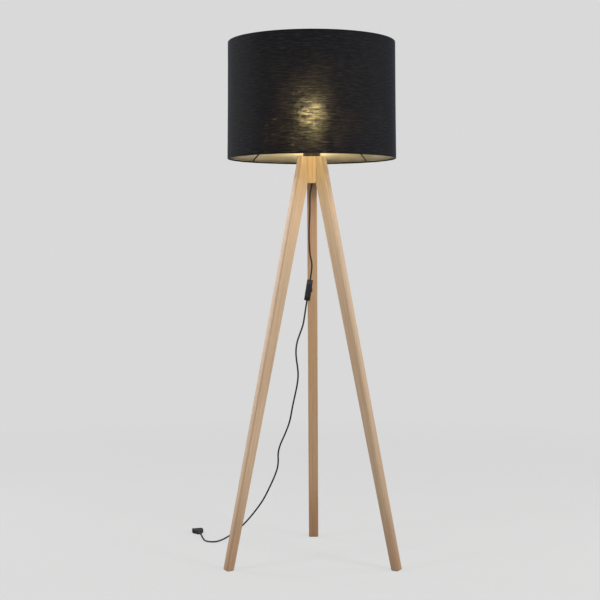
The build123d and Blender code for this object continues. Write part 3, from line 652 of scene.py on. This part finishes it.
def make_cord(name, points, replaced):
    """A smooth cord that follows its route's corner points."""
    curve = bpy.data.curves.new(name, "CURVE")
    curve.dimensions = "3D"
    curve.bevel_depth = CORD_D / 2
    curve.bevel_resolution = 6
    curve.resolution_u = 12
    curve.use_fill_caps = True
    spline = curve.splines.new("NURBS")
    spline.points.add(len(points) - 1)
    places = [AXIS + Vector(point) * MM for point in points]
    for control, place in zip(spline.points, places):
        control.co = (*place, 1.0)
    spline.order_u = 3
    spline.use_endpoint_u = True
    curve.materials.append(cord_rubber(name + "_sheath"))
    cord = link(bpy.data.objects.new(name, curve))
    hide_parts(replaced)
    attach(cord, "stand")


# ---------------------------------------------------------------- stage, light and camera
BACKGROUND = 0.694          # what the camera sees of the surrounding
SURROUND_LIGHT = 0.275      # what it lights the lamp with
FLOOR_SEEN = 0.58           # the floor's own brightness for the camera, and for the lamp
FLOOR_CAST = 0.10
FLOOR_R = 3.2
FLOOR_FADE = (1.2, 3.0)     # radii between which the floor fades out
FLOOR_DROP = 0.0002         # keeps the floor clear of the feet


def seen_or_cast(graph, seen, cast):
    """One surface for the camera and another for the light that leaves it."""
    path = graph.add("LightPath").outputs["Is Camera Ray"]
    return graph.add("MixShader", {0: path, 1: cast, 2: seen}).outputs[0]


def make_stage():
    """Pale floor that fades out into an equally pale surrounding."""
    mesh = bpy.data.meshes.new("floor")
    build = bmesh.new()
    bmesh.ops.create_circle(build, cap_ends=True, radius=FLOOR_R, segments=96)
    build.to_mesh(mesh)
    build.free()
    graph = Graph("floor_paper")
    point = graph.place()
    radius = graph.add("VectorMath", {0: point}, operation="LENGTH").outputs["Value"]
    paper = graph.noise(point, 60.0)
    tone = graph.ramp(paper, (0.3, (0.115, 0.115, 0.115)), (0.7, (0.125, 0.125, 0.125)))
    glow = {"Specular_IOR_Level": 0.0, "Emission_Color": (1, 1, 1, 1)}
    seen = graph.shade(tone, 0.9, **glow, Emission_Strength=FLOOR_SEEN)
    cast = graph.shade(tone, 0.9, **glow, Emission_Strength=FLOOR_CAST)
    fade = graph.span(radius, *FLOOR_FADE)
    clear = graph.add("BsdfTransparent").outputs[0]
    mixed = graph.add("MixShader", {0: fade, 1: seen_or_cast(graph, seen, cast), 2: clear}).outputs[0]
    mesh.materials.append(graph.finish(mixed))
    floor = link(bpy.data.objects.new("floor", mesh))
    floor.location = (0.0, 0.0, -FLOOR_DROP)


def make_world():
    """Pale backdrop for the camera; as a light it is dimmer, even and slightly cool."""
    world = bpy.data.worlds.new("surround")
    world.use_nodes = True
    tree = world.node_tree
    tree.nodes.clear()
    output = tree.nodes.new("ShaderNodeOutputWorld")
    seen = tree.nodes.new("ShaderNodeBackground")
    seen.inputs["Color"].default_value = (1, 1, 1, 1)
    seen.inputs["Strength"].default_value = BACKGROUND
    cast = tree.nodes.new("ShaderNodeBackground")
    cast.inputs["Color"].default_value = (0.95, 0.97, 1.0, 1)
    cast.inputs["Strength"].default_value = SURROUND_LIGHT
    path = tree.nodes.new("ShaderNodeLightPath")
    mix = tree.nodes.new("ShaderNodeMixShader")
    tree.links.new(path.outputs["Is Camera Ray"], mix.inputs[0])
    tree.links.new(cast.outputs[0], mix.inputs[1])
    tree.links.new(seen.outputs[0], mix.inputs[2])
    tree.links.new(mix.outputs[0], output.inputs[0])
    bpy.context.scene.world = world


DAYLIGHT = (1.0, 0.98, 0.95)
LINING_LIGHT = (1.0, 0.88, 0.50)
LAMP_MIDDLE = Vector((0.0, AXIS.y, 1.05))
HUB_HEAD = AXIS + Vector((0.0, 0.0, 1.165))


def soft_light(name, place, aim, size, power, colour=(1.0, 1.0, 1.0)):
    """Rectangular soft box pointed at a place; the camera doesn't see it."""
    light = bpy.data.lights.new(name, "AREA")
    light.shape = "RECTANGLE"
    light.size, light.size_y = size
    light.energy = power
    light.color = colour
    lamp = link(bpy.data.objects.new(name, light))
    lamp.location = place
    lamp.rotation_euler = (Vector(aim) - Vector(place)).to_track_quat("-Z", "Y").to_euler()
    lamp.visible_camera = False
    return lamp


def make_lights():
    """Soft boxes at the right, left and front and behind each side, and the lining's light on the hub."""
    soft_light("key", (3.5, -2.8, 2.9), LAMP_MIDDLE, (1.4, 2.1), 154.0, DAYLIGHT)
    soft_light("front", (0.1, -3.2, 2.5), LAMP_MIDDLE, (1.0, 0.5), 8.0, DAYLIGHT)
    soft_light("fill", (-3.4, -2.1, 2.8), LAMP_MIDDLE, (1.1, 2.1), 92.0)
    soft_light("rim_left", (-2.2, 0.9, 1.5), (0, 0, 1.25), (0.5, 1.8), 24.0)
    soft_light("rim_right", (2.3, 0.2, 1.5), (0, 0, 1.1), (0.8, 1.8), 21.0)
    under_rim = HUB_HEAD + Vector((0.0, -0.19, 0.09))
    bounce = soft_light("lining_bounce", under_rim, HUB_HEAD, (0.24, 0.05), 0.36, LINING_LIGHT)
    bounce.visible_transmission = False     # else it shows through the cloth as a second glow


CAMERA_DISTANCE = 3.768
CAMERA_HEIGHT = 0.944
CAMERA_TURN = math.radians(0.5)
FOCAL_SHARE = 2.0992        # focal length over the sensor's width
SENSOR = 36.0
SHIFT = (-0.0201, -0.0961)
ROLL = 0.0028


def make_camera():
    """Upright camera in front of the lamp, its frame shifted down to hold the feet."""
    data = bpy.data.cameras.new("camera")
    data.sensor_width = SENSOR
    data.lens = SENSOR * FOCAL_SHARE
    data.shift_x, data.shift_y = SHIFT
    camera = link(bpy.data.objects.new("camera", data))
    away = Vector((math.sin(CAMERA_TURN), -math.cos(CAMERA_TURN), 0.0)) * CAMERA_DISTANCE
    camera.location = AXIS + away + Vector((0.0, 0.0, CAMERA_HEIGHT))
    camera.rotation_euler = (math.pi / 2, ROLL, CAMERA_TURN)
    bpy.context.scene.camera = camera


# ---------------------------------------------------------------- build
paint_cad()
make_shade()
make_lining()
make_cord("cord_to_switch", CORD_UPPER, "cord_upper")
make_cord("cord_to_plug", CORD_LOWER, "cord_lower")
make_stage()
make_world()
make_lights()
make_camera()
bpy.context.scene.view_settings.view_transform = "Standard"
